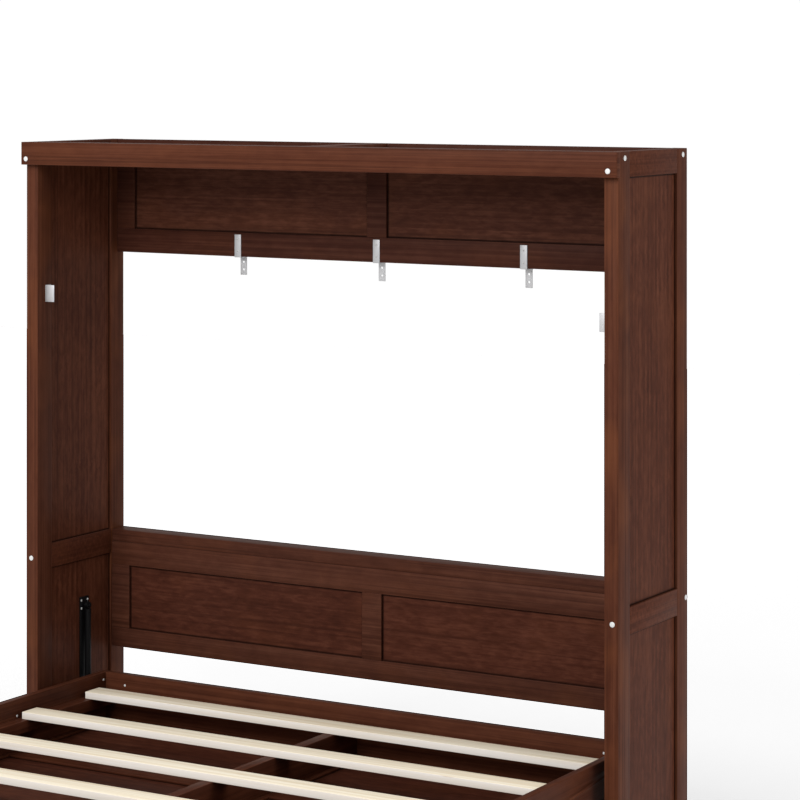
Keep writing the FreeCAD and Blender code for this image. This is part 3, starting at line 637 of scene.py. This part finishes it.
class WALLBED_OT_backs(bpy.types.Operator):
    """Dress the upper and lower back frames"""

    bl_idname = "wallbed.backs"
    bl_label = "Back frames"

    def execute(self, context):
        for word, boards, panels in (("upper_back", "upper_boards", "upper_panels"),
                                     ("lower_back", "back_boards", "back_panels")):
            dress_boards([f"{word}_bottom_rail", f"{word}_top_rail", f"{word}_stiles"],
                         "cabinet", boards, along=0)
            dress_boards([f"{word}_panels"], "cabinet", panels, along=0, framed=True)
        dress_boards(["lower_back_beam"], "cabinet", "back_boards")
        return {"FINISHED"}


class WALLBED_OT_bed(bpy.types.Operator):
    """Dress the bed's rails, beam and strips"""

    bl_idname = "wallbed.bed"
    bl_label = "Bed frame"

    def execute(self, context):
        dress_boards(["bed_left_rail", "bed_right_rail", "bed_head_rail", "bed_foot_rail"],
                     "bed", "bed_boards")
        dress_boards(["slat_ledgers", "bed_middle_beam"], "bed", "face_boards")
        return {"FINISHED"}


class WALLBED_OT_slats(bpy.types.Operator):
    """Dress the pale slats"""

    bl_idname = "wallbed.slats"
    bl_label = "Slats"

    def execute(self, context):
        dress_boards(["bed_slats"], "bed", "slats")
        return {"FINISHED"}


class WALLBED_OT_face(bpy.types.Operator):
    """Dress the face under the bed"""

    bl_idname = "wallbed.face"
    bl_label = "Bed face"

    def execute(self, context):
        dress_boards(["face_foot_rail", "face_head_rail", "face_middle_rails",
                      "face_side_stiles", "face_middle_stiles"], "bed", "face_boards")
        dress_boards(["face_panels"], "bed", "back_panels", framed=True)
        return {"FINISHED"}


class WALLBED_OT_legs(bpy.types.Operator):
    """Dress the folding legs, their pads and hinges"""

    bl_idname = "wallbed.legs"
    bl_label = "Legs"

    def execute(self, context):
        dress_boards(["left_leg", "right_leg", "leg_stretcher"], "legs", "bed_boards")
        dress_fittings(["leg_pads"], "legs", "pads")
        dress_fittings(["leg_hinges"], "bed", "steel")
        return {"FINISHED"}


class WALLBED_OT_fittings(bpy.types.Operator):
    """Dress the brackets, stop plates, pivots and lifts"""

    bl_idname = "wallbed.fittings"
    bl_label = "Metal fittings"

    def execute(self, context):
        dress_fittings(["wall_brackets", "stop_plates"], "cabinet", "steel")
        dress_fittings(["pivot_arms"], "bed", "steel")
        dress_fittings(["pivot_bearings", "lift_plates"], "cabinet", "black_paint")
        for word in ("left", "right"):
            cylinder, rod = f"{word}_lift_cylinder", f"{word}_lift_rod"
            dress_fittings([cylinder], f"{cylinder}_body", "black_paint")
            dress_fittings([rod], f"{rod}_body", "bright_rod")
        return {"FINISHED"}


class WALLBED_OT_caps(bpy.types.Operator):
    """Turn the bolt caps and screw heads"""

    bl_idname = "wallbed.caps"
    bl_label = "Caps and screws"

    def execute(self, context):
        for node, body, recess in (("cabinet_caps", "cabinet", False),
                                   ("bed_caps", "bed", False),
                                   ("screw_heads", "cabinet", True)):
            low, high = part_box(node)
            middle = (low + high) / 2
            shape = bmesh.new()
            for centre, thin, radius, tall in disc_places(node):
                # Discs on a front face the room, those on the cabinet's sides point away from the
                # middle, and those inside the cabinet and the bed point to it.
                away = math.copysign(1, centre.x - middle.x)
                if thin == 1:
                    outward = -AXES[thin]
                else:
                    outward = AXES[thin] * (away if node == "cabinet_caps" else -away)
                seat = centre - outward * tall / 2
                add_shape(shape, turned_dome(seat, outward, radius, tall, recess))
            piece = place_piece(f"{node}_turned", shape, body, "caps", node)
            if recess:
                piece.data.materials.append(finish_named("black_paint"))
        return {"FINISHED"}


def soft_light(name, place, target, size, power):
    """A wide square lamp that looks at a point."""
    lamp = bpy.data.lights.new(name, "AREA")
    lamp.shape = "SQUARE"
    lamp.size = size
    lamp.energy = power
    thing = bpy.data.objects.new(name, lamp)
    bpy.context.scene.collection.objects.link(thing)
    thing.location = place
    aim = Vector(target) - Vector(place)
    thing.rotation_euler = aim.to_track_quat("-Z", "Y").to_euler()
    return thing


class WALLBED_OT_stage(bpy.types.Operator):
    """Set up the floor, the lights and the camera"""

    bl_idname = "wallbed.stage"
    bl_label = "Stage"

    def execute(self, context):
        scene = context.scene
        settings = scene.wall_bed_stage
        colours = scene.wall_bed_colours

        shape = bmesh.new()
        bmesh.ops.create_grid(shape, x_segments=1, y_segments=1, size=FLOOR_REACH)
        bmesh.ops.translate(shape, verts=shape.verts, vec=(0, 0, -FLOOR_DROP))
        mesh = bpy.data.meshes.new("floor")
        shape.to_mesh(mesh)
        shape.free()
        floor = bpy.data.objects.new("floor", mesh)
        scene.collection.objects.link(floor)
        material, tree, shader = new_material(
            "pale_floor", Roughness=0.85, Specular_IOR_Level=0.1, Emission_Color=WHITE,
            Emission_Strength=settings.floor_glow)
        wear = object_place(tree).noise(0.8)
        feed(shader, Base_Color=wear.mix(tuple(colours.floor_dark), tuple(colours.floor_light)))
        mesh.materials.append(material)
        floor.is_shadow_catcher = True

        # The camera sees the backdrop, and everything else is lit by the sky.
        world = bpy.data.worlds.new("studio")
        world.use_nodes = True
        background = world.node_tree.nodes["Background"]
        background.inputs["Color"].default_value = WHITE
        seen = Wire(world.node_tree).node("ShaderNodeLightPath", output="Is Camera Ray")
        feed(background, Strength=seen.band(0, 1, settings.sky, settings.backdrop))
        scene.world = world
        scene.view_settings.view_transform = "Standard"

        soft_light("key_light", place=(-0.6, -6.0, 5.4), target=(0, 0.2, 0.9), size=4.6,
                   power=settings.key_power)
        soft_light("side_light", place=(6.6, 0.8, 4.1), target=(1.1, 0.5, 1.5), size=3.0,
                   power=settings.side_power)
        wash = soft_light("floor_light", place=(0, 0, 6.0), target=(0, 0.01, 0), size=10.0,
                          power=settings.floor_power)
        only_floor = bpy.data.collections.new("only_floor")
        only_floor.objects.link(floor)
        wash.light_linking.receiver_collection = only_floor
        wash.light_linking.blocker_collection = only_floor

        lens = bpy.data.cameras.new("camera")
        lens.lens = settings.lens
        lens.sensor_width = SENSOR_WIDTH
        lens.shift_y = settings.shift
        lens.clip_end = VIEW_REACH
        camera = bpy.data.objects.new("camera", lens)
        scene.collection.objects.link(camera)
        camera.location = (settings.across, settings.before, settings.height)
        camera.rotation_euler = (math.pi / 2, 0, settings.turn)
        scene.camera = camera
        return {"FINISHED"}


OPERATORS = (WALLBED_OT_sides, WALLBED_OT_top, WALLBED_OT_backs, WALLBED_OT_bed,
             WALLBED_OT_slats, WALLBED_OT_face, WALLBED_OT_legs, WALLBED_OT_fittings,
             WALLBED_OT_caps, WALLBED_OT_stage)
GROUPS = {"wall_bed_boards": WallBedBoards, "wall_bed_colours": WallBedColours,
          "wall_bed_stage": WallBedStage}


class WALLBED_PT_panel(bpy.types.Panel):
    """The wall bed's pieces and settings"""

    bl_idname = "WALLBED_PT_panel"
    bl_label = "Wall Bed"
    bl_space_type = "VIEW_3D"
    bl_region_type = "UI"
    bl_category = "Wall Bed"

    def draw(self, context):
        for operator in OPERATORS:
            self.layout.operator(operator.bl_idname)
        for name, group in GROUPS.items():
            for field in group.__annotations__:
                self.layout.prop(getattr(context.scene, name), field)


def register():
    for item in (*GROUPS.values(), *OPERATORS, WALLBED_PT_panel):
        bpy.utils.register_class(item)
    for name, group in GROUPS.items():
        setattr(bpy.types.Scene, name, PointerProperty(type=group))


def unregister():
    for name in GROUPS:
        delattr(bpy.types.Scene, name)
    for item in reversed((*GROUPS.values(), *OPERATORS, WALLBED_PT_panel)):
        bpy.utils.unregister_class(item)


def main():
    register()
    for operator in OPERATORS:
        area, name = operator.bl_idname.split(".")
        getattr(getattr(bpy.ops, area), name)()


if __name__ == "__main__":
    main()
